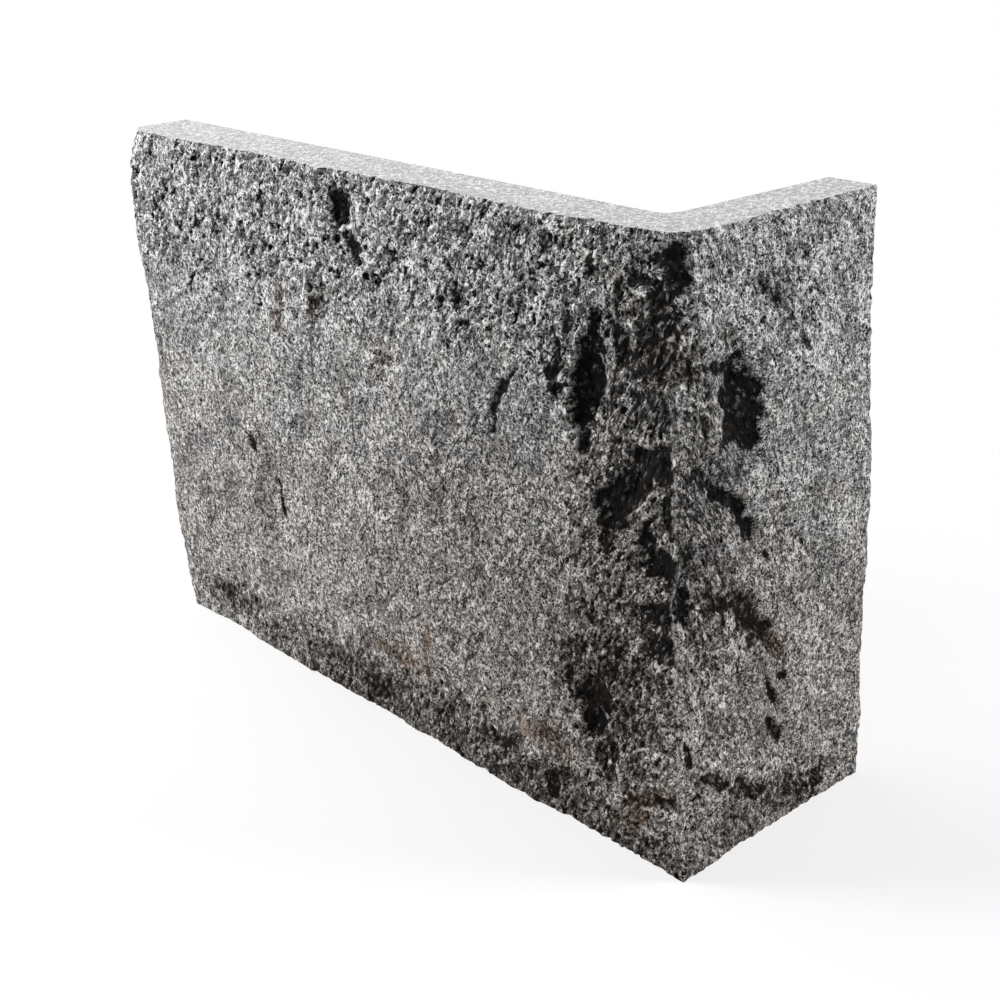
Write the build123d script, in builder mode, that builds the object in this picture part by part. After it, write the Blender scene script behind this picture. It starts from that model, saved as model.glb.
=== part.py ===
from build123d import *

import os
from dataclasses import dataclass
from math import ceil, cos, exp, pi, radians, sin

# Corner piece of natural stone cladding, in millimetres.
# One block of granite, L-shaped in plan: both backs, both beds, both ends are sawn, and the
# two outer faces are split by hand, so they are rock-faced.
#
# It stands as it is laid in the wall, +Z up. The origin is the corner of the wall that the
# piece wraps, at the foot. The long leg runs along -X with its rock face towards -Y, and the
# short leg runs along +Y with its rock face towards +X.

# Overall sizes, each leg measured outside, from the arris to its sawn end.
long_leg = 400.0
short_leg = 130.0
height = 285.0

# From the sawn back to the nominal plane of the rock face, one value for each leg.
long_thickness = 30.0
short_thickness = 30.0

# Radius that the saw leaves in the inner corner between the two backs.
inner_corner_radius = 9.0

# The raw block is this much thicker than the finished legs, and splitting takes it off.
split_allowance = 16.0

# Spacing of the points that a rock face is laid through, and how far it passes the raw block.
relief_step = 7.0
overrun = split_allowance + 4.0


@dataclass
class Scoop:
    """A hollow in a rock face. A negative depth makes it a swelling."""

    name: str
    across: float       # from the arris to its middle
    up: float           # from the foot to its middle
    half_width: float
    half_height: float
    turn: float         # degrees, positive tips its upper end away from the arris
    depth: float

    def depth_at(self, across, up):
        """How deep the hollow is at a place on its face."""
        side = across - self.across
        rise = up - self.up
        tip = radians(self.turn)
        along = (rise * cos(tip) + side * sin(tip)) / self.half_height
        beside = (side * cos(tip) - rise * sin(tip)) / self.half_width
        return self.depth * exp(-along**2 - beside**2)


@dataclass
class Wave:
    """A slow undulation of a split face."""

    swing: float
    length: float
    heading: float      # degrees from the horizontal
    start: float        # degrees

    def height_at(self, across, up):
        """How far the wave stands out at a place on its face."""
        run = across * cos(radians(self.heading)) + up * sin(radians(self.heading))
        return self.swing * cos(2 * pi * run / self.length + radians(self.start))


@dataclass
class RockFace:
    """The relief of one split face, measured outwards from its nominal plane."""

    width: float
    foot_at_arris: float
    foot_at_end: float
    top_at_arris: float
    top_at_end: float
    belly: float        # how far the middle stands out between its pitched margins
    scoops: list
    waves: list

    def height_at(self, across, up):
        """How far the face stands out at a place, given from the arris and the foot."""
        share = across / self.width
        level = up / height
        foot = self.foot_at_arris + (self.foot_at_end - self.foot_at_arris) * share
        top = self.top_at_arris + (self.top_at_end - self.top_at_arris) * share
        lean = foot + (top - foot) * level
        swell = self.belly * (1 - (2 * level - 1) ** 4)
        hollow = sum(scoop.depth_at(across, up) for scoop in self.scoops)
        ripple = sum(wave.height_at(across, up) for wave in self.waves)
        return lean + swell - hollow + ripple

    def surface(self, place):
        """The spline face through the relief, a little larger than the block on every side."""
        columns = ceil((self.width + 2 * overrun) / relief_step)
        rows = ceil((height + 2 * overrun) / relief_step)
        points = []
        for row in range(rows + 1):
            up = -overrun + (height + 2 * overrun) * row / rows
            line = []
            for column in range(columns + 1):
                across = -overrun + (self.width + 2 * overrun) * column / columns
                line.append(place(across, up, self.height_at(across, up)))
            points.append(line)
        return Face.make_surface_from_array_of_points(points, min_deg=3, max_deg=3)


# The long rock face leans out towards its far top corner and is pitched back at the foot.
long_relief = RockFace(
    width=long_leg,
    foot_at_arris=-1.5,
    foot_at_end=-4.5,
    top_at_arris=-2.5,
    top_at_end=7.0,
    belly=3.0,
    scoops=[
        Scoop("tall hollow by the arris", 46, 216, 8, 29, -10, 6.0),
        Scoop("slanting hollow by the arris", 27, 171, 9, 27, -26, 4.5),
        Scoop("notch at mid height", 8, 146, 9, 13, 10, 3.5),
        Scoop("low hollow by the arris", 46, 60, 10, 27, 10, 5.5),
        Scoop("hollow under the top bed", 210, 262, 11, 20, 14, 3.5),
        Scoop("shallow dish under the top bed", 130, 250, 34, 24, 0, 2.0),
        Scoop("knocked-off corner", 0, 285, 15, 24, 0, 4.0),
        Scoop("knocked-off far corner", 400, 287, 9, 9, 0, 6.0),
        Scoop("pitched foot at the far end", 352, 14, 30, 16, 0, 2.5),
        Scoop("pitched foot at the middle", 212, 8, 24, 13, 0, 1.5),
        Scoop("foot swelling", 105, 6, 26, 18, 0, -1.8),
        Scoop("far swelling", 345, 250, 45, 40, 0, -1.0),
    ],
    waves=[
        Wave(0.7, 118, 35, 20),
        Wave(0.5, 74, 125, 200),
        Wave(0.35, 47, 20, 90),
    ],
)

# The short rock face stands furthest out at the foot beside the arris.
short_relief = RockFace(
    width=short_leg,
    foot_at_arris=7.0,
    foot_at_end=-1.0,
    top_at_arris=1.5,
    top_at_end=-3.0,
    belly=1.0,
    scoops=[
        Scoop("tall hollow by the arris", 39, 209, 11, 22, -10, 6.0),
        Scoop("slanting hollow by the arris", 31, 170, 8, 23, -37, 4.0),
        Scoop("notch at mid height", 5, 133, 8, 14, 0, 3.5),
        Scoop("slanting dish at mid height", 44, 111, 9, 20, -50, 2.5),
        Scoop("low hollow", 66, 50, 8, 24, -25, 2.0),
        Scoop("knocked-off corner", 0, 285, 12, 24, 0, 12.0),
        Scoop("far swelling", 128, 120, 30, 34, 0, -1.5),
        Scoop("dip at the far top", 128, 235, 26, 30, 0, 1.5),
    ],
    waves=[
        Wave(0.6, 88, 145, 60),
        Wave(0.4, 52, 50, 0),
    ],
)


def on_long_face(across, up, out):
    """A point of the long rock face: across from the arris, up from the foot."""
    return (short_thickness - across, -long_thickness - out, up)


def on_short_face(across, up, out):
    """A point of the short rock face: across from the arris, up from the foot."""
    return (short_thickness + out, -long_thickness + across, up)


long_split = long_relief.surface(on_long_face)
short_split = short_relief.surface(on_short_face)

# The sawn ends and the outside of the raw block.
long_end = short_thickness - long_leg
short_end = short_leg - long_thickness
raw_front = -long_thickness - split_allowance
raw_side = short_thickness + split_allowance

with BuildPart() as corner_stone:
    # The raw L in plan, sawn square, drawn round from the wall's corner.
    with BuildSketch(Plane.XY):
        with BuildLine():
            Polyline(
                (0, 0),
                (0, short_end),
                (raw_side, short_end),
                (raw_side, raw_front),
                (long_end, raw_front),
                (long_end, 0),
                close=True,
            )
        make_face()
    extrude(amount=height)

    # The inner corner, where the two sawn backs meet.
    inner_edge = corner_stone.edges().filter_by(Axis.Z).sort_by_distance((0, 0, height / 2))[0]
    fillet(inner_edge, inner_corner_radius)

    # Each rock face takes the waste off its own leg.
    extrude(long_split, amount=2 * split_allowance, dir=(0, -1, 0), mode=Mode.SUBTRACT)
    extrude(short_split, amount=2 * split_allowance, dir=(1, 0, 0), mode=Mode.SUBTRACT)

corner_stone.part.label = "corner_stone"

os.makedirs("parts", exist_ok=True)
export_step(corner_stone.part, "parts/corner_stone.step")
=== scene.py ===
"""Dresses the corner piece of granite wall cladding.

The stone is one block. Its two outer faces are split by hand and stay rough, and its beds, its
backs and its ends are sawn. One closed mesh stands for it, laid over the solid of the frame.
"""

import logging
from dataclasses import dataclass
from enum import Enum
from math import cos, exp, pi, radians, sin

import bmesh
import bpy
from mathutils import Matrix, Vector, noise
from mathutils.bvhtree import BVHTree


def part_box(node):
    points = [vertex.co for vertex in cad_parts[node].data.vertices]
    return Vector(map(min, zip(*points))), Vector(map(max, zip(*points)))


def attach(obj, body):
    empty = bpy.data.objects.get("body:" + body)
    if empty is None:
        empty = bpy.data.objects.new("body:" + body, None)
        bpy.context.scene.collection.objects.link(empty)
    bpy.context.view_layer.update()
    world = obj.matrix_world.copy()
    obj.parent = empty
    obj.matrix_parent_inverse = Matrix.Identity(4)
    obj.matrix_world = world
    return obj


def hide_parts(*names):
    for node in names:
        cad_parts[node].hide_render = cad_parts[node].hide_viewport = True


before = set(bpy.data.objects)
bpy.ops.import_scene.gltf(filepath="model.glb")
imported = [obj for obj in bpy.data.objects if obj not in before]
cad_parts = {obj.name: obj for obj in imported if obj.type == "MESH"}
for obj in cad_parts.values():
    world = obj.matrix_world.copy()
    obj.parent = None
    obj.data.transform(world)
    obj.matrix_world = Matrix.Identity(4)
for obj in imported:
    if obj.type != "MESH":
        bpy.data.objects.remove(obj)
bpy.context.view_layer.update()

MM = 0.001
LOG = logging.getLogger("corner stone")
LOOKS = ("relief", "coarse", "shade", "rust", "wear_and_highlight")

# The stone broke along a grain that leans up towards the arris on both legs.
LEAN = 0.45
SQUEEZE = 0.38


def smooth_step(low: float, high: float, value: float) -> float:
    """Runs from 0 at low to 1 at high, flat at both ends.

    Args:
        low: where the step starts.
        high: where it ends; it may lie below low.
        value: the place asked for.

    Returns:
        The step's height there.
    """
    share = min(1.0, max(0.0, (value - low) / (high - low)))
    return share * share * (3.0 - 2.0 * share)


class Leg(Enum):
    """The two legs of the stone."""

    LONG = "long"
    SHORT = "short"


@dataclass(frozen=True)
class Place:
    """A place on the split skin, unrolled: metres from the arris and from the foot."""

    leg: Leg
    across: float
    up: float

    def in_space(self) -> Vector:
        """Gives the place as a point for the noise, with the two legs joined at the arris."""
        run = -self.across if self.leg is Leg.LONG else self.across
        return Vector((run / MM, self.up / MM, 0.0))

    def leaning(self) -> Vector:
        """Gives the place folded at the arris and sheared, so that patterns lean up towards it."""
        across = self.across / MM
        up = self.up / MM
        if self.leg is Leg.LONG:
            return Vector((-across - LEAN * up, LEAN * up, SQUEEZE * up))
        return Vector((-LEAN * up, across + LEAN * up, SQUEEZE * up))


@dataclass(frozen=True)
class Mark:
    """A dark pocket, crack or stain of a split face, or a broad patch of painted shade, all its sizes in
    millimetres.
    """

    name: str
    leg: Leg
    across: float
    up: float
    half_width: float
    half_height: float
    turn: float = 0.0
    depth: float = 0.0
    # The shade darkens the colour: painted shade in a pocket or crack, on top of its darker stone, and all of a
    # gloom's darkness.
    shade: float = 0.0
    rust: float = 0.0
    ragged: float = 0.4
    soft: float = 0.28

    def strength(self, leg: Leg, across: float, up: float, wander: float) -> float:
        """Says how strongly the mark shows at a place.

        Args:
            leg: the leg that the place is on.
            across: millimetres from the arris.
            up: millimetres from the foot.
            wander: noise from -1 to 1 that makes its outline ragged.

        Returns:
            A share from 0 to 1.
        """
        if leg is not self.leg:
            return 0.0
        side = across - self.across
        rise = up - self.up
        reach = 2.0 * max(self.half_width, self.half_height)
        if abs(side) > reach or abs(rise) > reach:
            return 0.0
        tip = radians(self.turn)
        along = (rise * cos(tip) + side * sin(tip)) / self.half_height
        beside = (side * cos(tip) - rise * sin(tip)) / self.half_width
        distance = (along * along + beside * beside) ** 0.5 + self.ragged * wander
        return smooth_step(1.0 + self.soft, 1.0 - self.soft, distance)


MARKS = (
    Mark("tall pocket", Leg.LONG, 50, 215, 6.6, 22, -10, 2.5, 1.0),
    Mark("tall pocket head", Leg.LONG, 46.5, 239, 2.6, 13, -32, 1.4, 0.95),
    Mark("tall pocket inner head", Leg.LONG, 43, 231, 4.5, 4.5, -10, 1.2, 0.95),
    Mark("tall pocket foot", Leg.LONG, 52, 192, 3.8, 8, 10, 1.4, 0.95),
    Mark("pocket beside it", Leg.LONG, 67.5, 219, 3.8, 7, -12, 1.6, 1.0),
    Mark("pocket beside it, head", Leg.LONG, 66, 231, 1.4, 7, -5, 1.0, 0.9),
    Mark("pocket beside it, foot", Leg.LONG, 67, 210, 3.4, 4, 0, 0.8, 0.75),
    Mark("slanting pocket", Leg.LONG, 26, 174, 8.5, 27, -37, 1.7, 1.0),
    Mark("slanting pocket head", Leg.LONG, 9, 191, 13, 7.5, 0, 1.2, 0.95),
    Mark("slanting pocket foot", Leg.LONG, 36.5, 152, 4.4, 9, -5, 1.2, 0.95),
    Mark("arris notch", Leg.LONG, 7, 147, 10, 8, 0, 1.5, 1.0),
    Mark("arris notch lip", Leg.LONG, 15, 154, 4, 8, 10, 1.2, 0.95),
    Mark("under the notch", Leg.LONG, 7, 125, 10, 7, 0, 1.2, 0.95),
    Mark("lower arris notch", Leg.LONG, 9, 110, 11, 8, 0, 1.0, 0.9),
    Mark("low pocket", Leg.LONG, 46, 72, 11.5, 9, 0, 1.7, 1.0),
    Mark("low pocket throat", Leg.LONG, 50, 58, 5, 10, 8, 1.5, 1.0),
    Mark("low pocket rim", Leg.LONG, 59, 72, 1.4, 15, 3, 0.6, 0.8),
    Mark("low pocket foot", Leg.LONG, 38, 42, 5.6, 12, -15, 1.4, 1.0),
    Mark("low pocket tail", Leg.LONG, 47, 41, 4.5, 6, 0, 0.8, 0.75),
    Mark("over the low pocket", Leg.LONG, 36, 90, 18, 10, 20, 0.3, 0.7, 0.5, 0.8, 0.6),
    Mark("bed pocket", Leg.LONG, 215, 268, 5.0, 10, 10, 1.8, 1.0, ragged=0.6),
    Mark("bed pocket tail", Leg.LONG, 205, 250, 6.0, 11, 20, 1.2, 0.85, ragged=0.8),
    Mark("bed slit", Leg.LONG, 131, 239, 2.0, 8, 10, 1.2, 0.8),
    Mark("bed slit head", Leg.LONG, 137, 252, 2.0, 6, 20, 1.0, 0.7),
    Mark("far bed slit", Leg.LONG, 278, 263, 1.2, 9, -8, 1.0, 0.8),
    Mark("far bed pit", Leg.LONG, 340, 241, 2.2, 2.6, 0, 1.0, 0.85),
    Mark("end bed pit", Leg.LONG, 374, 247, 2.6, 2.6, 0, 1.0, 0.8),
    Mark("top flute", Leg.LONG, 44, 269, 2.2, 7, -10, 1.2, 0.85),
    Mark("second top flute", Leg.LONG, 70, 273, 1.6, 6, -25, 1.0, 0.8),
    Mark("top corner", Leg.LONG, 7.5, 257, 2.8, 11, -6, 0.9, 1.0),
    Mark("top corner fold", Leg.LONG, 10, 266, 12, 1.8, -8, 0.8, 0.95),
    Mark("top corner stain", Leg.LONG, 10, 238, 13, 15, 0, 0.5, 0.8, 0.4, 0.8, 0.5),
    Mark("top corner gloom", Leg.LONG, 10, 232, 22, 42, -5, 0.0, 0.6, 0.3, 0.8, 0.5),
    Mark("top corner patch", Leg.LONG, 26, 235, 4.5, 5, -30, 0.8, 0.8),
    Mark("top corner slit", Leg.LONG, 29, 257, 1.8, 7, -5, 0.9, 0.85),
    Mark("top corner pit", Leg.LONG, 22, 263, 3, 2.2, 0, 0.8, 0.8),
    Mark("ledge", Leg.LONG, 31, 245, 8, 2.8, -12, 0.8, 0.95),
    Mark("ledge end", Leg.LONG, 58, 241, 2.3, 7, -25, 0.9, 0.95),
    Mark("slit over the pocket", Leg.LONG, 20, 219, 2.4, 6, 0, 0.8, 0.95),
    Mark("arris shadow", Leg.LONG, 3, 181, 2.4, 28, 0, 0.6, 0.85),
    Mark("crack head", Leg.LONG, 91.5, 213.5, 0.8, 5, -32, 0.8, 0.85, ragged=0.3),
    Mark("crack knee", Leg.LONG, 98, 205, 2.1, 8, -45, 1.2, 1.0, ragged=0.3),
    Mark("crack", Leg.LONG, 104, 193, 1.8, 9, -20, 1.2, 1.0, ragged=0.3),
    Mark("crack foot", Leg.LONG, 107.5, 184, 1.4, 6, -25, 0.8, 1.0, ragged=0.3),
    Mark("far crack", Leg.LONG, 286, 98, 1.4, 14, 14, 1.0, 1.0, ragged=0.4),
    Mark("far pit", Leg.LONG, 309, 127, 3.0, 5, 40, 1.2, 1.0, ragged=0.5),
    Mark("end crack", Leg.LONG, 349, 209, 1.4, 8, -24, 0.9, 1.0, ragged=0.4),
    Mark("fold", Leg.LONG, 48.5, 113.5, 0.8, 8, 28, 0.8, 0.9, ragged=0.4),
    Mark("foot slash", Leg.LONG, 76, 13, 4.6, 9, 10, 1.1, 0.95, ragged=0.5),
    Mark("foot slash head", Leg.LONG, 72, 23, 6, 5, 0, 0.4, 0.55, 0.7, 0.8, 0.6),
    Mark("foot pit", Leg.LONG, 116, 28, 3, 2.6, 20, 0.8, 0.95, ragged=0.5),
    Mark("second foot pit", Leg.LONG, 108, 24, 6, 2.4, 10, 0.6, 0.8, ragged=0.7),
    Mark("far foot shade", Leg.LONG, 352, 20, 30, 12, 0, 0.8, 0.55, 0.3, 0.8, 0.6),
    Mark("foot shade", Leg.LONG, 214, 13, 12, 7, 0, 0.8, 0.8, 0.2, 0.8),
    Mark("arris foot stain", Leg.LONG, 20, 27, 6, 22, -42, 0.3, 0.45, 0.9, 0.8, 0.6),
    Mark("arris foot shade", Leg.LONG, 7, 36, 6, 3, 10, 0.6, 0.8, 0.4, 0.8),
    Mark("brown foot", Leg.LONG, 82, 38, 16, 8, 0, 0.2, 0.35, 0.8, 0.8, 0.6),
    Mark("upper stain", Leg.LONG, 268, 208, 5, 12, -5, 0.3, 0.5, 0.6, 0.9, 0.7),
    Mark("upper stain foot", Leg.LONG, 272, 197, 4, 3.6, 0, 0.4, 0.55, 0.4, 0.9, 0.6),
    Mark("bow stain", Leg.LONG, 237, 219, 4, 9, -55, 0.4, 0.62, 0.6, 0.9, 0.6),
    Mark("middle pit", Leg.LONG, 178, 213, 3, 3, 0, 0.6, 0.8, 0.4, 0.8),
    Mark("middle stain", Leg.LONG, 186, 200, 6, 11, -5, 0.3, 0.55, 0.6, 0.9, 0.6),
    Mark("low stain", Leg.LONG, 166, 56, 4, 9, -20, 0.4, 0.35, 0.9, 0.7, 0.6),
    Mark("foot stain", Leg.LONG, 190, 40, 22, 5, 0, 0.2, 0.35, 0.8, 0.9, 0.6),
    # The glooms have no depth and only darken the colour: painted shade, with some darker stone, near the arris
    # and the low pocket, painted uneven light across the field, and darker towards the bottom at the foot.
    Mark("arris gloom", Leg.LONG, 24, 160, 38, 130, 0, 0.0, 0.46, 0.25, 0.7, 0.5),
    Mark("low gloom", Leg.LONG, 34, 84, 34, 66, 10, 0.0, 0.56, 0.3, 0.7, 0.5),
    Mark("foot gloom", Leg.LONG, 150, 2, 210, 36, 0, 0.0, 0.54, 0.35, 0.5, 0.5),
    Mark("field gloom", Leg.LONG, 95, 125, 100, 150, 0, 0.0, 0.34, 0.1, 0.4, 0.7),
    Mark("tall pocket", Leg.SHORT, 44, 210, 9.2, 22, -20, 2.0, 1.0),
    Mark("tall pocket wing", Leg.SHORT, 36.5, 199, 8, 8, 0, 1.5, 1.0),
    Mark("tall pocket upper wing", Leg.SHORT, 30, 226, 9, 3.8, 12, 1.2, 1.0),
    Mark("tall pocket foot", Leg.SHORT, 47, 193, 7, 5.5, 0, 1.4, 1.0),
    Mark("slit", Leg.SHORT, 17, 206, 1.9, 7, -8, 1.0, 0.9),
    Mark("second slit", Leg.SHORT, 11.5, 208, 1.0, 4, -10, 0.6, 0.8),
    Mark("slanting pocket head", Leg.SHORT, 14.5, 184, 5, 7, -25, 1.1, 1.0),
    Mark("slanting pocket floor", Leg.SHORT, 24, 168, 13, 22, -40, 0.2, 0.55, 0.1, 0.8, 0.5),
    Mark("slanting line", Leg.SHORT, 25, 184, 0.9, 6, -55, 0.6, 0.85, ragged=0.3),
    Mark("slanting pocket", Leg.SHORT, 28, 173.5, 3.6, 12, -52, 1.5, 1.0),
    Mark("slanting pocket throat", Leg.SHORT, 38.5, 163, 3.4, 8, -32, 1.4, 1.0),
    Mark("slanting pocket foot", Leg.SHORT, 44, 153, 3.6, 6, -24, 1.4, 1.0),
    Mark("arris notch", Leg.SHORT, 3.5, 133, 6.5, 12, -7, 1.4, 1.0),
    Mark("over the arris notch", Leg.SHORT, 3, 152, 5, 10, -15, 0.5, 0.8, 0.4, 0.7),
    Mark("slanting stain", Leg.SHORT, 30, 124, 8.5, 17, -60, 0.8, 0.82, 0.9, 0.8, 0.6),
    Mark("slanting stain foot", Leg.SHORT, 48, 108, 8, 13, -50, 1.0, 0.85, 0.9, 0.8, 0.5),
    Mark("slanting trail", Leg.SHORT, 63, 92, 6, 12, -40, 0.3, 0.6, 0.8, 0.8, 0.6),
    Mark("spot over the crack", Leg.SHORT, 68, 76, 3.8, 4, -30, 0.8, 1.0),
    Mark("crack head", Leg.SHORT, 61, 70, 2.0, 10, -25, 1.0, 1.0, 0.2, 0.5),
    Mark("low crack", Leg.SHORT, 66, 49, 2.0, 12, -40, 1.2, 1.0, 0.2, 0.4),
    Mark("low crack foot", Leg.SHORT, 70, 44, 2.6, 4.5, -20, 0.9, 0.95),
    Mark("arris slit", Leg.SHORT, 5.5, 62, 1.8, 9, -15, 0.8, 0.9),
    Mark("bow shade", Leg.SHORT, 25, 39, 3.4, 18, -55, 0.6, 0.75, 0.6, 0.8, 0.6),
    Mark("bow shade middle", Leg.SHORT, 48, 26, 5.0, 16, -62, 0.8, 0.82, 0.6, 0.8, 0.6),
    Mark("bow shade foot", Leg.SHORT, 78, 13, 14, 7, 5, 0.6, 0.72, 0.4, 0.8, 0.6),
    Mark("end shade", Leg.SHORT, 98, 7, 8, 6, 0, 0.8, 0.85, 0.3, 0.9),
    Mark("top corner", Leg.SHORT, 4, 271, 4.2, 10, 0, 1.0, 1.0),
    Mark("top corner stain", Leg.SHORT, 8, 233, 10, 11, -20, 0.3, 0.75, 0.4, 0.8, 0.6),
    Mark("arris stain", Leg.SHORT, 1, 248, 4, 14, 0, 0.3, 0.8, 0.4, 0.7),
    Mark("far slot", Leg.SHORT, 83.5, 225, 1.5, 4.5, -50, 0.8, 0.9),
    Mark("middle slot", Leg.SHORT, 82, 138, 1.2, 4, -20, 0.8, 0.9),
    Mark("middle pit", Leg.SHORT, 57, 137, 2.2, 2.2, 0, 0.6, 0.85),
    Mark("upper patch", Leg.SHORT, 64, 249, 9, 24, -48, 0.4, 0.42, 0.1, 0.9, 0.7),
    Mark("upper pit", Leg.SHORT, 63, 250, 2.6, 4.5, -40, 0.6, 0.7, ragged=1.0, soft=0.5),
    Mark("lower upper pit", Leg.SHORT, 73, 239, 2.0, 4.5, -40, 0.5, 0.7, ragged=1.0, soft=0.5),
    Mark("second upper pit", Leg.SHORT, 54, 243, 2.2, 2.2, 0, 0.7, 0.75),
    Mark("top pit", Leg.SHORT, 81, 264, 2.6, 2.0, 0, 0.7, 0.65),
    # As on the long leg, the glooms only darken the colour: painted shade by the arris, painted uneven light
    # across the field, and darker towards the bottom at the foot.
    Mark("arris gloom", Leg.SHORT, 14, 165, 30, 80, 0, 0.0, 0.46, 0.2, 0.7, 0.5),
    Mark("foot gloom", Leg.SHORT, 34, 2, 74, 34, 0, 0.0, 0.38, 0.2, 0.5, 0.5),
    Mark("field gloom", Leg.SHORT, 52, 90, 28, 100, 0, 0.0, 0.28, 0.1, 0.5, 0.7),
)


def facets(point: Vector, size: float, seed: float, blur: float) -> float:
    """Gives a surface of small tilted planes that meet in ragged steps, as stone breaks.

    Args:
        point: where it is asked for, in millimetres.
        size: how far apart the planes lie, in millimetres.
        seed: picks another pattern of the same kind.
        blur: how sharply the nearest plane wins over the next.

    Returns:
        A height of about -1 to 1.
    """
    spot = point / size + Vector((seed, 1.7 * seed, 0.31 * seed))
    distances, cells = noise.voronoi(spot)
    total = 0.0
    height = 0.0
    for distance, cell in zip(distances[:3], cells[:3]):
        weight = exp(-blur * (distance**2 - distances[0] ** 2))
        tilt = noise.cell_vector(cell * 91.7) - Vector((0.5, 0.5, 0.5))
        plane = tilt.z + 1.6 * (spot - cell).dot(tilt)
        height += weight * plane
        total += weight
    return 1.4 * height / total


@dataclass(frozen=True)
class BrokenSurface:
    """The small relief of split granite, coarse where it was pitched and fine elsewhere."""

    coarse_slab: float = 0.65
    coarse_chip: float = 0.65
    swell: float = 0.8
    crease: float = 1.1
    fine_slab: float = 0.3
    fine_chip: float = 0.2
    grain: float = 0.24
    pit_width: float = 2.6

    def coarseness(self, place: Place) -> float:
        """Says how coarsely the face broke at a place, from 0 to 1."""
        spot = place.in_space()
        across = place.across / MM
        up = place.up / MM + 14.0 * noise.noise(spot / 38.0)
        if place.leg is Leg.LONG:
            border = 222.0 - 45.0 * smooth_step(95.0, 30.0, across)
            top = smooth_step(border - 24.0, border + 14.0, up)
            arris = 0.8 * smooth_step(70.0, 40.0, across + 10.0 * noise.noise(spot / 25.0))
            foot = 0.55 * smooth_step(42.0, 26.0, up)
        else:
            top = 0.45 * smooth_step(190.0, 235.0, up)
            arris = 0.6 * smooth_step(50.0, 15.0, across + 10.0 * noise.noise(spot / 25.0))
            foot = 0.45 * smooth_step(42.0, 22.0, up)
        return max(top, arris, foot)

    def pit(self, place: Place, coarse: float) -> float:
        """Says how deep in a pit a place lies; pits are narrow slots that lean to the arris.

        Args:
            place: where it is asked for.
            coarse: the coarseness there.

        Returns:
            A share from 0 to 1.
        """
        spot = place.leaning() / self.pit_width
        depth = noise.noise(spot) + 0.45 * noise.noise(2.1 * spot)
        level = 0.75 - 0.38 * coarse
        return smooth_step(level, level + 0.16, depth)

    def height(self, place: Place, coarse: float) -> float:
        """Gives the small relief at a place.

        Args:
            place: where it is asked for.
            coarse: the coarseness there.

        Returns:
            The height in millimetres, outwards.
        """
        spot = place.in_space()
        bent = place.leaning() + 2.2 * Vector(noise.noise_vector(spot / 7.0))
        slab = facets(bent, 7.5, 3.1, 9.0)
        chip = facets(bent, 3.1, 8.7, 8.0)
        grit = noise.noise(spot / 2.4) + 0.5 * noise.noise(spot / 1.3)
        slab_swing = self.fine_slab + (self.coarse_slab - self.fine_slab) * coarse
        chip_swing = self.fine_chip + (self.coarse_chip - self.fine_chip) * coarse
        grit_swing = self.grain * (1.0 + 1.3 * coarse)
        swell = self.swell * noise.noise(spot / 26.0 + Vector((3, 8, 1)))
        crease = self.crease * (0.2 - abs(noise.noise(bent / 15.0 + Vector((7, 3, 1)))))
        return swell + crease + slab_swing * slab + chip_swing * chip + grit_swing * grit


class SolidSurface:
    """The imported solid, for rays cast on to its faces."""

    def __init__(self, node: str) -> None:
        """Reads the solid's mesh from the frame.

        Args:
            node: the name of the solid's node.
        """
        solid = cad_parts[node]
        corners = [solid.matrix_world @ vertex.co for vertex in solid.data.vertices]
        faces = [tuple(polygon.vertices) for polygon in solid.data.polygons]
        self.tree = BVHTree.FromPolygons(corners, faces)

    def hit(self, start: Vector, heading: Vector) -> Vector | None:
        """Gives the first point of the solid along a ray, or None."""
        return self.tree.ray_cast(start, heading)[0]


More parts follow.
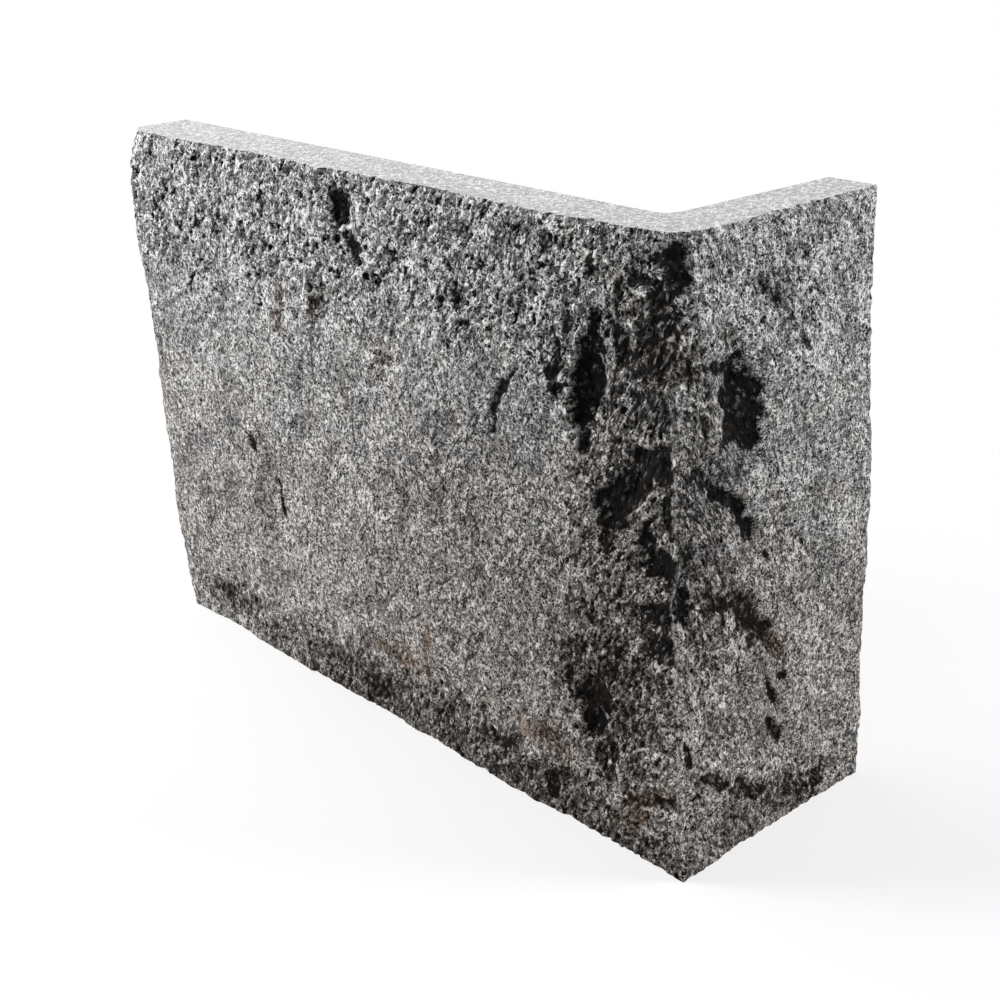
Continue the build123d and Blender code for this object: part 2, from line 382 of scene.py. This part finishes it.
@dataclass
class CornerStone:
    """The stone as one closed mesh: a fine split skin, folded at the arris, and a sawn rest."""

    node: str = "corner_stone"
    thickness: float = 30.0 * MM
    inner_radius: float = 9.0 * MM
    cell: float = 1.27 * MM
    rim: float = 5.0 * MM
    arris_blend: float = 30.0 * MM
    standoff: float = 60.0 * MM
    broken: BrokenSurface = BrokenSurface()

    def __post_init__(self) -> None:
        """Takes the overall sizes from the frame."""
        low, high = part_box(self.node)
        self.long_end = low[0]
        self.short_end = high[1]
        self.height = high[2]
        self.long_leg = self.thickness - self.long_end
        self.short_leg = self.thickness + self.short_end
        self.solid = SolidSurface(self.node)

    def build(self) -> bpy.types.Object:
        """Makes the whole stone.

        Returns:
            Its object, at the origin.
        """
        bm = bmesh.new()
        self.run_layer = bm.verts.layers.float.new("run")
        self.rise_layer = bm.verts.layers.float.new("rise")
        self.looks = {name: bm.verts.layers.float.new(name) for name in LOOKS}
        self.unroll(bm)
        self.lay_on_solid(bm)
        self.close_behind(bm)
        bm.normal_update()
        mesh = bpy.data.meshes.new("granite_corner_stone")
        bm.to_mesh(mesh)
        bm.free()
        stone = bpy.data.objects.new("granite_corner_stone", mesh)
        bpy.context.scene.collection.objects.link(stone)
        LOG.info("stone: %d faces", len(mesh.polygons))
        return stone

    def unroll(self, bm: bmesh.types.BMesh) -> None:
        """Spreads the split skin out flat in the long leg's plane, then folds it at the arris."""
        width = self.long_leg + self.short_leg
        columns = round(self.long_leg / self.cell) + round(self.short_leg / self.cell)
        rows = round(self.height / self.cell)
        bmesh.ops.create_grid(bm, x_segments=columns, y_segments=rows, size=0.5)
        bmesh.ops.scale(bm, vec=(width, self.height, 1.0), verts=bm.verts)
        upright = Matrix.Rotation(radians(90.0), 3, "X")
        bmesh.ops.rotate(bm, cent=(0, 0, 0), matrix=upright, verts=bm.verts)
        middle = Vector((self.long_end + width / 2.0, -self.thickness, self.height / 2.0))
        bmesh.ops.translate(bm, vec=middle, verts=bm.verts)
        for vert in bm.verts:
            vert[self.run_layer] = vert.co.x - self.thickness
            vert[self.rise_layer] = vert.co.z
        arris = Vector((self.thickness, -self.thickness, 0.0))
        beyond = [vert for vert in bm.verts if vert[self.run_layer] > 0.0]
        fold = Matrix.Rotation(radians(90.0), 3, "Z")
        bmesh.ops.rotate(bm, cent=arris, matrix=fold, verts=beyond)

    def arris_at(self, up: float) -> Vector:
        """Finds the outer corner of the solid at a height."""
        inside = self.thickness - 4.0 * MM
        level = min(self.height - 0.2 * MM, max(0.2 * MM, up))
        side = self.solid.hit(Vector((2 * self.standoff, -inside, level)), Vector((-1, 0, 0)))
        front = self.solid.hit(Vector((inside, -2 * self.standoff, level)), Vector((0, 1, 0)))
        apart = Vector((self.standoff, -self.standoff, 0.0))
        corner = self.solid.hit(Vector((side.x, front.y, level)) + apart, -apart.normalized())
        return Vector((corner.x, corner.y, up))

    def lay_on_solid(self, bm: bmesh.types.BMesh) -> None:
        """Moves every vertex of the skin on to the solid and roughens it there."""
        arrises = {}
        for vert in bm.verts:
            run = vert[self.run_layer]
            up = vert[self.rise_layer]
            key = round(up / MM, 2)
            if key not in arrises:
                arrises[key] = self.arris_at(up)
            leg = Leg.LONG if run <= 0.0 else Leg.SHORT
            place = Place(leg, abs(run), up)
            ground = self.ground(place, arrises[key])
            vert.co = ground + self.outwards(place) * self.small_relief(vert, place) * MM

    def ground(self, place: Place, arris: Vector) -> Vector:
        """Finds the solid's own surface under a place of the skin.

        Args:
            place: the place on the skin.
            arris: the solid's outer corner at that height.

        Returns:
            The point on the solid.
        """
        near = 1.0 - smooth_step(0.0, self.arris_blend, place.across)
        level = min(self.height - 0.2 * MM, max(0.2 * MM, place.up))
        if place.across < 0.5 * self.cell:
            return arris.copy()
        if place.leg is Leg.LONG:
            x = self.thickness - place.across + (arris.x - self.thickness) * near
            start = Vector((max(x, self.long_end + 0.2 * MM), -self.standoff, level))
            found = self.solid.hit(start, Vector((0, 1, 0)))
            return Vector((x, found.y if found else arris.y, place.up))
        y = place.across - self.thickness + (arris.y + self.thickness) * near
        start = Vector((2 * self.standoff, min(y, self.short_end - 0.2 * MM), level))
        found = self.solid.hit(start, Vector((-1, 0, 0)))
        return Vector((found.x if found else arris.x, y, place.up))

    def outwards(self, place: Place) -> Vector:
        """Gives the way that relief stands out, which turns smoothly round the arris."""
        share = 0.5 * smooth_step(9.0 * MM, 0.0, place.across)
        front = Vector((0.0, -1.0, 0.0))
        side = Vector((1.0, 0.0, 0.0))
        if place.leg is Leg.LONG:
            return (front * (1.0 - share) + side * share).normalized()
        return (side * (1.0 - share) + front * share).normalized()

    def small_relief(self, vert: bmesh.types.BMVert, place: Place) -> float:
        """Works out the relief at a vertex and notes its looks there.

        Args:
            vert: the skin's vertex, which gets the looks.
            place: its place on the skin.

        Returns:
            How far it stands out from the solid, in millimetres.
        """
        coarse = self.broken.coarseness(place)
        relief = self.broken.height(place, coarse)
        pit = self.broken.pit(place, coarse)
        spot = place.in_space()
        wander = noise.noise(spot / 9.0) + 0.8 * noise.noise(spot / 3.5)
        drift = 3.0 * Vector(noise.noise_vector(spot / 11.0)) + 1.3 * Vector(noise.noise_vector(spot / 4.0))
        across = place.across / MM + drift.x
        up = place.up / MM + drift.y
        # The shade look starts with the pits: it darkens the colour there as painted shade.
        shade = pit
        rust = 0.0
        depth = (0.4 + 0.9 * coarse) * pit
        for mark in MARKS:
            strength = mark.strength(place.leg, across, up, wander)
            if strength > 0.0:
                shade = max(shade, strength * mark.shade)
                rust = max(rust, strength * mark.rust)
                depth = max(depth, strength * mark.depth)
        vert[self.looks["relief"]] = relief
        vert[self.looks["coarse"]] = coarse
        vert[self.looks["shade"]] = shade
        vert[self.looks["rust"]] = rust
        vert[self.looks["wear_and_highlight"]] = self.wear_and_highlight(place)
        return relief - depth - self.edge_wear(place)

    def wear_and_highlight(self, place: Place) -> float:
        """Says how pale the crystals are at a place, at the arris and the top edge: partly bruised crystals and
        partly a painted highlight on the edges.
        """
        up = place.up / MM
        arris = smooth_step(1.7, 0.6, place.across / MM) * smooth_step(10, 40, up) * smooth_step(225, 200, up)
        top = 0.8 * smooth_step(3.5, 0.5, self.height / MM - up)
        patchy = smooth_step(-0.1, 0.3, noise.noise(place.in_space() / 3.0))
        return max(arris, top) * patchy

    def edge_wear(self, place: Place) -> float:
        """Says how much has crumbled off at a place near an edge of the skin, in millimetres."""
        spot = place.in_space()
        end = self.long_leg if place.leg is Leg.LONG else self.short_leg
        chance = max(0.0, noise.noise(spot / 5.0 + Vector((5, 5, 5))))
        wear = (0.6 + 4.0 * chance) * exp(-(self.height - place.up) / (1.9 * MM))
        for gap in (place.up, end - place.across):
            wear = max(wear, (0.5 + 1.2 * chance) * exp(-gap / (1.6 * MM)))
        blunt = 0.3 + 1.6 * max(0.0, noise.noise(spot / 11.0 + Vector((9, 1, 2))))
        return wear + blunt * exp(-place.across / (1.8 * MM))

    def back_point(self, run: float) -> Vector:
        """Gives the point of the sawn backs, in plan, that lies behind a place of the skin.

        Args:
            run: the place along the unrolled skin, 0 at the arris and negative on the long leg.

        Returns:
            The point, at the foot's level.
        """
        bend = 12.0 * MM
        radius = self.inner_radius
        if run <= -bend:
            share = (run + self.long_leg) / (self.long_leg - bend)
            return Vector((self.long_end + (-radius - self.long_end) * share, 0.0, 0.0))
        if run >= bend:
            share = (run - bend) / (self.short_leg - bend)
            return Vector((0.0, radius + (self.short_end - radius) * share, 0.0))
        angle = pi / 4.0 * run / bend - pi / 4.0
        return Vector((-radius + radius * cos(angle), radius + radius * sin(angle), 0.0))

    def close_behind(self, bm: bmesh.types.BMesh) -> None:
        """Carries the skin's border back over the beds and ends, and closes the sawn backs."""
        for face in bm.faces:
            coarse = sum(vert[self.looks["coarse"]] for vert in face.verts) / len(face.verts)
            face.smooth = coarse < 0.4
        for reach in (self.rim, None):
            self.extend_border(bm, reach)
        self.close_backs(bm)

    def extend_border(self, bm: bmesh.types.BMesh, reach: float | None) -> None:
        """Extrudes the open border inwards over the sawn faces.

        Args:
            bm: the stone so far.
            reach: how far, or None for all the way to the backs.
        """
        border = [edge for edge in bm.edges if edge.is_boundary]
        made = bmesh.ops.extrude_edge_only(bm, edges=border)["geom"]
        for face in (item for item in made if isinstance(item, bmesh.types.BMFace)):
            face.material_index = 1
            face.smooth = reach is not None
        for vert in (item for item in made if isinstance(item, bmesh.types.BMVert)):
            run = vert[self.run_layer]
            up = vert[self.rise_layer]
            target = self.back_point(run)
            target.z = up
            place = Place(Leg.LONG if run <= 0.0 else Leg.SHORT, abs(run), up)
            start = self.ground(place, self.arris_at(up))
            way = target - start
            vert.co = target if reach is None else start + way.normalized() * reach
            for layer in self.looks.values():
                vert[layer] = 0.0

    def close_backs(self, bm: bmesh.types.BMesh) -> None:
        """Bridges the two backs from the top bed to the foot bed."""
        tiny = 0.01 * MM
        inner = []
        for vert in bm.verts:
            if vert.is_boundary and tiny < vert.co.z < self.height - tiny:
                inner.append(vert)
        bmesh.ops.dissolve_verts(bm, verts=inner)
        level = []
        for edge in bm.edges:
            first, last = edge.verts
            if edge.is_boundary and abs(first.co.z - last.co.z) < tiny:
                level.append(edge)
        backs = bmesh.ops.bridge_loops(bm, edges=level)["faces"]
        for face in backs:
            face.material_index = 1
            face.smooth = False
        for edge in bm.edges:
            kinds = {face.material_index for face in edge.link_faces}
            edge.smooth = len(kinds) == 1


class Shader:
    """A material's node tree, with short calls for the nodes used here."""

    def __init__(self, name: str) -> None:
        """Makes an empty tree whose patterns are in millimetres of the stone.

        Args:
            name: the material's name.
        """
        self.material = bpy.data.materials.new(name)
        self.material.use_nodes = True
        self.tree = self.material.node_tree
        self.tree.nodes.clear()
        coords = self.add("ShaderNodeTexCoord")
        scale = self.add("ShaderNodeMapping")
        scale.inputs["Scale"].default_value = (1.0 / MM,) * 3
        self.join(coords.outputs["Object"], scale.inputs["Vector"])
        self.place = scale.outputs["Vector"]

    def add(self, kind: str, **settings: object) -> bpy.types.Node:
        """Adds a node of a kind, with its settings."""
        node = self.tree.nodes.new(kind)
        for name, value in settings.items():
            setattr(node, name, value)
        return node

    def join(self, source: bpy.types.NodeSocket, target: bpy.types.NodeSocket) -> None:
        """Links an output to an input."""
        self.tree.links.new(source, target)

    def fill(self, socket: bpy.types.NodeSocket, value: object) -> None:
        """Gives an input a link or a constant."""
        if isinstance(value, bpy.types.NodeSocket):
            self.join(value, socket)
        else:
            socket.default_value = value

    def math(self, operation: str, first: object, second: object = 0.0) -> bpy.types.NodeSocket:
        """Adds a Math node and gives its output."""
        node = self.add("ShaderNodeMath", operation=operation)
        self.fill(node.inputs[0], first)
        self.fill(node.inputs[1], second)
        return node.outputs[0]

    def steps(
        self, value: bpy.types.NodeSocket, low: float, high: float, start: float = 0.0, end: float = 1.0
    ) -> bpy.types.NodeSocket:
        """Maps a value from one range to another, smoothly and clamped."""
        node = self.add("ShaderNodeMapRange", interpolation_type="SMOOTHSTEP")
        self.join(value, node.inputs["Value"])
        for name, number in zip(("From Min", "From Max", "To Min", "To Max"), (low, high, start, end)):
            node.inputs[name].default_value = number
        return node.outputs["Result"]

    def noise(self, scale: float, detail: float, place: object = None) -> bpy.types.Node:
        """Adds a noise with a scale in waves per millimetre."""
        node = self.add("ShaderNodeTexNoise")
        self.join(place or self.place, node.inputs["Vector"])
        node.inputs["Scale"].default_value = scale
        node.inputs["Detail"].default_value = detail
        return node

    def cells(self, size: float, feature: str, place: bpy.types.NodeSocket) -> bpy.types.Node:
        """Adds a Voronoi pattern with cells of a size in millimetres."""
        node = self.add("ShaderNodeTexVoronoi", feature=feature)
        self.join(place, node.inputs["Vector"])
        node.inputs["Scale"].default_value = 1.0 / size
        return node

    def blend(self, share: object, first: object, second: object, way: str = "MIX") -> bpy.types.NodeSocket:
        """Blends two colours and gives the outcome."""
        node = self.add("ShaderNodeMix", data_type="RGBA", blend_type=way)
        self.fill(node.inputs["Factor"], share)
        self.fill(node.inputs[6], first)
        self.fill(node.inputs[7], second)
        return node.outputs[2]

    def ramp(self, value: bpy.types.NodeSocket, stops: tuple) -> bpy.types.NodeSocket:
        """Adds a colour ramp, its stops given as (place, grey) or (place, colour)."""
        node = self.add("ShaderNodeValToRGB")
        self.join(value, node.inputs["Fac"])
        bar = node.color_ramp.elements
        while len(bar) < len(stops):
            bar.new(0.5)
        for element, (spot, tone) in zip(bar, stops):
            element.position = spot
            element.color = (tone, tone, tone, 1.0) if isinstance(tone, float) else (*tone, 1.0)
        return node.outputs["Color"]

    def leaning(self) -> bpy.types.NodeSocket:
        """Shears the coordinates, so that a pattern leans up towards the arris on both legs."""
        parts = self.add("ShaderNodeSeparateXYZ")
        self.join(self.place, parts.inputs["Vector"])
        slope = self.math("MULTIPLY", parts.outputs["Z"], LEAN)
        whole = self.add("ShaderNodeCombineXYZ")
        self.join(self.math("SUBTRACT", parts.outputs["X"], slope), whole.inputs["X"])
        self.join(self.math("ADD", parts.outputs["Y"], slope), whole.inputs["Y"])
        self.join(self.math("MULTIPLY", parts.outputs["Z"], SQUEEZE), whole.inputs["Z"])
        return whole.outputs["Vector"]

    def flakes(
        self, size: float, place: bpy.types.NodeSocket
    ) -> tuple[bpy.types.NodeSocket, bpy.types.NodeSocket]:
        """Makes a surface of small flakes, each tilted its own way, with steps between them.

        Args:
            size: how wide a flake is, in millimetres.
            place: the coordinates to lay them out on.

        Returns:
            The height in millimetres for a slope of up to 1, and a random number for each flake.
        """
        cell = self.cells(size, "F1", place)
        away = self.add("ShaderNodeVectorMath", operation="SUBTRACT")
        self.join(place, away.inputs[0])
        self.join(cell.outputs["Position"], away.inputs[1])
        tilt = self.add("ShaderNodeVectorMath", operation="MULTIPLY_ADD")
        self.join(cell.outputs["Color"], tilt.inputs[0])
        tilt.inputs[1].default_value = (2.0, 2.0, 2.0)
        tilt.inputs[2].default_value = (-1.0, -1.0, -1.0)
        slope = self.add("ShaderNodeVectorMath", operation="DOT_PRODUCT")
        self.join(away.outputs["Vector"], slope.inputs[0])
        self.join(tilt.outputs["Vector"], slope.inputs[1])
        picked = self.add("ShaderNodeSeparateColor")
        self.join(cell.outputs["Color"], picked.inputs["Color"])
        return slope.outputs["Value"], picked.outputs["Blue"]

    def look(self, name: str) -> bpy.types.NodeSocket:
        """Reads one of the stone's own looks, kept at its vertices."""
        return self.add("ShaderNodeAttribute", attribute_name=name).outputs["Fac"]


@dataclass(frozen=True)
class Granite:
    """The minerals of the granite, the same pattern right through the stone."""

    grain: float = 2.1
    mica: float = 0.008
    dark: float = 0.028
    middle: float = 0.088
    light: float = 0.27
    strand: float = 0.96

    def minerals(self, shader: Shader) -> bpy.types.NodeSocket:
        """Lays out the minerals.

        Args:
            shader: the tree to lay them out in.

        Returns:
            The colour.
        """
        warp = shader.noise(0.5, 3.0)
        shift = shader.add("ShaderNodeVectorMath", operation="MULTIPLY_ADD")
        shader.join(warp.outputs["Color"], shift.inputs[0])
        shift.inputs[1].default_value = (3.2, 3.2, 3.2)
        shader.join(shader.place, shift.inputs[2])
        bent = shift.outputs["Vector"]
        blobs = shader.cells(self.grain, "F1", bent)
        edges = shader.cells(self.grain, "DISTANCE_TO_EDGE", bent)
        tone = shader.ramp(
            blobs.outputs["Color"],
            ((0.0, self.mica), (0.3, self.dark), (0.65, self.middle), (1.0, self.light)),
        )
        mottle = shader.steps(shader.noise(0.85, 3.0).outputs["Fac"], 0.36, 0.68, 0.3, 1.9)
        tone = shader.blend(1.0, tone, mottle, "MULTIPLY")
        patchy = shader.steps(shader.noise(0.4, 3.0, bent).outputs["Fac"], 0.42, 0.60)
        rims = shader.math("MULTIPLY", shader.steps(edges.outputs["Distance"], 0.2, 0.04), patchy)
        ridge = shader.math("ABSOLUTE", shader.math("SUBTRACT", shader.noise(0.62, 2.0).outputs["Fac"], 0.5))
        veins = shader.math("MULTIPLY", shader.steps(ridge, 0.04, 0.005), 0.8)
        strands = shader.math("MAXIMUM", rims, veins)
        tone = shader.blend(strands, tone, (self.strand, self.strand, 0.98 * self.strand, 1.0))
        specks = shader.cells(1.0, "F1", shader.place)
        picked = shader.add("ShaderNodeSeparateColor")
        shader.join(specks.outputs["Color"], picked.inputs["Color"])
        centre = shader.steps(specks.outputs["Distance"], 0.6, 0.3)
        white = shader.math("MULTIPLY", centre, shader.steps(picked.outputs["Red"], 0.88, 0.93))
        black = shader.math("MULTIPLY", centre, shader.steps(picked.outputs["Green"], 0.84, 0.89))
        tone = shader.blend(white, tone, (0.85, 0.85, 0.84, 1.0))
        return shader.blend(black, tone, (0.015, 0.015, 0.015, 1.0))


@dataclass(frozen=True)
class SplitFinish:
    """The split faces: dull, darkened by painted shade in the pockets, gaps and folds, and brightened by painted
    light on the broken crystals.
    """

    granite: Granite = Granite()
    roughness: float = 0.85
    gain: float = 0.88

    def folds(self, shader: Shader, slant: bpy.types.NodeSocket) -> bpy.types.NodeSocket:
        """Draws thin wandering folds, broken off in places, that darken the colour as painted shade in the
        creases.

        Args:
            shader: the tree to draw them in.
            slant: the leaning coordinates that they follow.

        Returns:
            1 in a fold and 0 elsewhere.
        """
        level = shader.noise(0.03, 2.5, slant).outputs["Fac"]
        away = shader.math("ABSOLUTE", shader.math("SUBTRACT", level, 0.5))
        lines = shader.steps(away, 0.011, 0.002)
        parts = shader.steps(shader.noise(0.045, 2.0).outputs["Fac"], 0.5, 0.6)
        return shader.math("MULTIPLY", lines, parts)

    def material(self) -> bpy.types.Material:
        """Makes the material."""
        shader = Shader("split_granite")
        tone = self.granite.minerals(shader)
        level = shader.add("ShaderNodeSeparateXYZ")
        shader.join(shader.place, level.inputs["Vector"])
        cool = shader.steps(level.outputs["Z"], 40.0, 260.0)
        low_tint = (self.gain, 0.94 * self.gain, 0.91 * self.gain, 1.0)
        high_tint = (0.96 * self.gain, 0.97 * self.gain, 0.985 * self.gain, 1.0)
        tint = shader.blend(cool, low_tint, high_tint)
        tone = shader.blend(1.0, tone, tint, "MULTIPLY")
        coarse = shader.look("coarse")
        shade = shader.look("shade")
        # Painted shade and light from the relief: the low places are darker and the high ones brighter, as the
        # small relief would be shaded.
        relief = shader.steps(shader.look("relief"), -1.5, 1.5)
        relief_shading = shader.ramp(relief, ((0.0, 0.5), (0.4, 0.93), (0.6, 1.12), (1.0, 1.5)))
        tone = shader.blend(1.0, tone, relief_shading, "MULTIPLY")
        # Painted light: the coarse band is made brighter, as its pitched facets tilt up towards the light.
        tone = shader.blend(coarse, tone, (1.5, 1.5, 1.5, 1.0), "MULTIPLY")
        slant = shader.leaning()
        broad, _ = shader.flakes(2.8, slant)
        small, pick = shader.flakes(1.4, slant)
        # Painted light and shade on the flakes: each flake gets its own brightness from its random number, as if
        # it faced towards or away from the lamps, most in the coarse band.
        lit = shader.ramp(pick, ((0.0, 0.3), (0.35, 0.85), (0.8, 1.5), (1.0, 2.8)))
        share = shader.math("ADD", shader.math("MULTIPLY", coarse, 0.5), 0.3)
        tone = shader.blend(share, tone, lit, "MULTIPLY")
        # Painted shade in the crevices: dark gaps between the flakes, more of them in the coarse band and where
        # the shade look is high; the same gaps are dented into the bump.
        depth = shader.noise(0.36, 3.0, slant).outputs["Fac"]
        depth = shader.math("SUBTRACT", depth, shader.math("MULTIPLY", coarse, 0.075))
        depth = shader.math("SUBTRACT", depth, shader.math("MULTIPLY", shade, 0.17))
        gap = shader.steps(depth, 0.29, 0.235)
        tone = shader.blend(shader.math("MULTIPLY", gap, 0.95), tone, (0.08, 0.075, 0.07, 1.0), "MULTIPLY")
        # The folds darken the colour as painted shade in the creases and are dented into the bump too.
        fold = self.folds(shader, slant)
        tone = shader.blend(shader.math("MULTIPLY", fold, 0.75), tone, (0.3, 0.29, 0.28, 1.0), "MULTIPLY")
        cloud = shader.steps(shader.noise(0.05, 4.0).outputs["Fac"], 0.3, 0.7)
        tint = shader.blend(cloud, (0.88, 0.89, 0.91, 1.0), (1.12, 1.10, 1.08, 1.0))
        tone = shader.blend(1.0, tone, tint, "MULTIPLY")
        tone = shader.blend(1.0, tone, (0.86, 0.86, 0.85, 1.0), "DARKEN")
        tone = shader.blend(shader.look("rust"), tone, (0.60, 0.46, 0.36, 1.0), "MULTIPLY")
        # Painted shade from the shade look, over the darker stone of the pockets: the pockets, pits and glooms go
        # nearly black, broken up flake by flake so that a few grains stay lit.
        uneven = shader.math("SUBTRACT", 1.38, shader.math("MULTIPLY", pick, 0.74))
        broken = shader.steps(shader.math("MULTIPLY", shade, uneven), 0.12, 0.86)
        tone = shader.blend(broken, tone, (0.022, 0.018, 0.015, 1.0), "MULTIPLY")
        # Paler along the arris and the top edge: bruised crystals, with a painted highlight on the edges.
        bruise_and_highlight = shader.math("MULTIPLY", shader.look("wear_and_highlight"), 0.6)
        tone = shader.blend(bruise_and_highlight, tone, (0.62, 0.62, 0.61, 1.0))
        surface = shader.add("ShaderNodeBsdfPrincipled")
        shader.join(tone, surface.inputs["Base Color"])
        surface.inputs["Roughness"].default_value = self.roughness
        surface.inputs["Specular IOR Level"].default_value = 0.1
        rough = shader.noise(0.9, 4.0).outputs["Fac"]
        height = shader.math("ADD", shader.math("MULTIPLY", broad, 0.9), shader.math("MULTIPLY", small, 0.9))
        height = shader.math("MULTIPLY", height, shader.math("ADD", shader.math("MULTIPLY", coarse, 0.7), 0.25))
        height = shader.math("ADD", height, shader.math("MULTIPLY", rough, 0.8))
        height = shader.math("SUBTRACT", height, shader.math("ADD", gap, fold))
        bump = shader.add("ShaderNodeBump")
        bump.inputs["Strength"].default_value = 1.0
        bump.inputs["Distance"].default_value = MM
        shader.join(height, bump.inputs["Height"])
        shader.join(bump.outputs["Normal"], surface.inputs["Normal"])
        output = shader.add("ShaderNodeOutputMaterial")
        shader.join(surface.outputs["BSDF"], output.inputs["Surface"])
        return shader.material


@dataclass(frozen=True)
class SawnFinish:
    """The sawn faces: flat, matt and much paler, because the saw bruises every crystal."""

    granite: Granite = Granite()
    roughness: float = 0.7
    pale: float = 0.62
    cover: float = 0.45

    def material(self) -> bpy.types.Material:
        """Makes the material."""
        shader = Shader("sawn_granite")
        tone = self.granite.minerals(shader)
        tone = shader.blend(self.cover, tone, (self.pale, self.pale, 1.005 * self.pale, 1.0))
        tone = shader.blend(1.0, tone, (1.02, 1.025, 1.03, 1.0), "MULTIPLY")
        surface = shader.add("ShaderNodeBsdfPrincipled")
        shader.join(tone, surface.inputs["Base Color"])
        surface.inputs["Roughness"].default_value = self.roughness
        surface.inputs["Specular IOR Level"].default_value = 0.3
        bump = shader.add("ShaderNodeBump")
        bump.inputs["Strength"].default_value = 0.3
        bump.inputs["Distance"].default_value = 0.15 * MM
        shader.join(shader.noise(0.8, 3.0).outputs["Fac"], bump.inputs["Height"])
        shader.join(bump.outputs["Normal"], surface.inputs["Normal"])
        output = shader.add("ShaderNodeOutputMaterial")
        shader.join(surface.outputs["BSDF"], output.inputs["Surface"])
        return shader.material


@dataclass
class Studio:
    """The floor, the soft light and the camera of the photograph."""

    eye: tuple = (0.5007, -0.5119, 0.4421)
    azimuth: float = 50.13
    elevation: float = 21.32
    roll: float = -2.04
    lens: float = 64.3
    floor_size: float = 14.0

    def camera(self) -> None:
        """Puts the camera at the photograph's place and angle."""
        data = bpy.data.cameras.new("camera")
        data.sensor_width = 36.0
        data.lens = self.lens
        data.clip_start = 0.01
        camera = bpy.data.objects.new("camera", data)
        turn = Matrix.Rotation(radians(self.azimuth), 4, "Z")
        tip = Matrix.Rotation(radians(90.0 - self.elevation), 4, "X")
        roll = Matrix.Rotation(radians(self.roll), 4, "Z")
        camera.matrix_world = Matrix.Translation(self.eye) @ turn @ tip @ roll
        bpy.context.scene.collection.objects.link(camera)
        bpy.context.scene.camera = camera

    def lamp(self, name: str, place: Vector, aim: Vector, size: float, power: float) -> None:
        """Adds a square soft lamp.

        Args:
            name: its name.
            place: where it hangs.
            aim: the point that it faces.
            size: its side, in metres.
            power: its power in watts.
        """
        data = bpy.data.lights.new(name, "AREA")
        data.size = size
        data.energy = power
        lamp = bpy.data.objects.new(name, data)
        lamp.matrix_world = Matrix.Translation(place) @ (place - aim).to_track_quat("Z", "Y").to_matrix().to_4x4()
        bpy.context.scene.collection.objects.link(lamp)

    def lamps(self) -> None:
        """Hangs the lamps: one overhead, and one beyond the far end of each leg."""
        middle = Vector((-0.1, 0.0, 0.14))
        self.lamp("overhead", Vector((-0.85, -0.2, 1.35)), middle, 1.1, 9.8)
        self.lamp("left", Vector((-0.95, -0.85, 0.70)), middle, 0.5, 15.5)
        self.lamp("right", Vector((0.80, 0.80, 0.75)), middle, 0.5, 13.0)

    def world(self) -> None:
        """Fills in an even soft light, white where the camera sees it."""
        world = bpy.data.worlds.new("studio")
        world.use_nodes = True
        tree = world.node_tree
        tree.nodes.clear()
        rays = tree.nodes.new("ShaderNodeLightPath")
        soft = tree.nodes.new("ShaderNodeBackground")
        soft.inputs["Strength"].default_value = 0.29
        white = tree.nodes.new("ShaderNodeBackground")
        white.inputs["Color"].default_value = (1.0, 1.0, 1.0, 1.0)
        either = tree.nodes.new("ShaderNodeMath")
        either.operation = "MAXIMUM"
        seen = tree.nodes.new("ShaderNodeMath")
        seen.operation = "MAXIMUM"
        mix = tree.nodes.new("ShaderNodeMixShader")
        output = tree.nodes.new("ShaderNodeOutputWorld")
        tree.links.new(rays.outputs["Is Camera Ray"], either.inputs[0])
        tree.links.new(rays.outputs["Is Glossy Ray"], either.inputs[1])
        tree.links.new(either.outputs[0], seen.inputs[0])
        tree.links.new(rays.outputs["Is Transmission Ray"], seen.inputs[1])
        tree.links.new(seen.outputs[0], mix.inputs[0])
        tree.links.new(soft.outputs[0], mix.inputs[1])
        tree.links.new(white.outputs[0], mix.inputs[2])
        tree.links.new(mix.outputs[0], output.inputs["Surface"])
        bpy.context.scene.world = world

    def floor(self) -> None:
        """Lays a plain pale floor under the stone."""
        bm = bmesh.new()
        bmesh.ops.create_grid(bm, x_segments=1, y_segments=1, size=self.floor_size / 2.0)
        mesh = bpy.data.meshes.new("floor")
        bm.to_mesh(mesh)
        bm.free()
        floor = bpy.data.objects.new("floor", mesh)
        bpy.context.scene.collection.objects.link(floor)
        shader = Shader("pale_floor")
        rays = shader.add("ShaderNodeLightPath")
        seen = shader.math("MAXIMUM", rays.outputs["Is Camera Ray"], rays.outputs["Is Glossy Ray"])
        seen = shader.math("MAXIMUM", seen, rays.outputs["Is Transmission Ray"])
        tone = shader.blend(seen, (0.35, 0.35, 0.35, 1.0), (0.9, 0.9, 0.9, 1.0))
        surface = shader.add("ShaderNodeBsdfDiffuse")
        shader.join(tone, surface.inputs["Color"])
        white = shader.add("ShaderNodeEmission")
        away = shader.add("ShaderNodeVectorMath", operation="LENGTH")
        shader.join(shader.place, away.inputs[0])
        fade = shader.steps(away.outputs["Value"], 220.0, 600.0, 0.7, 1.0)
        mix = shader.add("ShaderNodeMixShader")
        shader.join(shader.math("MULTIPLY", fade, seen), mix.inputs[0])
        shader.join(surface.outputs["BSDF"], mix.inputs[1])
        shader.join(white.outputs["Emission"], mix.inputs[2])
        output = shader.add("ShaderNodeOutputMaterial")
        shader.join(mix.outputs["Shader"], output.inputs["Surface"])
        mesh.materials.append(shader.material)

    def build(self) -> None:
        """Sets up the whole studio."""
        self.camera()
        self.lamps()
        self.world()
        self.floor()
        bpy.context.scene.view_settings.view_transform = "Standard"
        LOG.info("studio: floor, three lamps, camera")


def main() -> None:
    """Builds the stone and the studio, in order."""
    logging.basicConfig(level=logging.INFO, format="%(message)s")
    stone = CornerStone().build()
    stone.data.materials.append(SplitFinish().material())
    stone.data.materials.append(SawnFinish().material())
    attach(stone, "root")
    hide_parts("corner_stone")
    Studio().build()


if __name__ == "__main__":
    main()
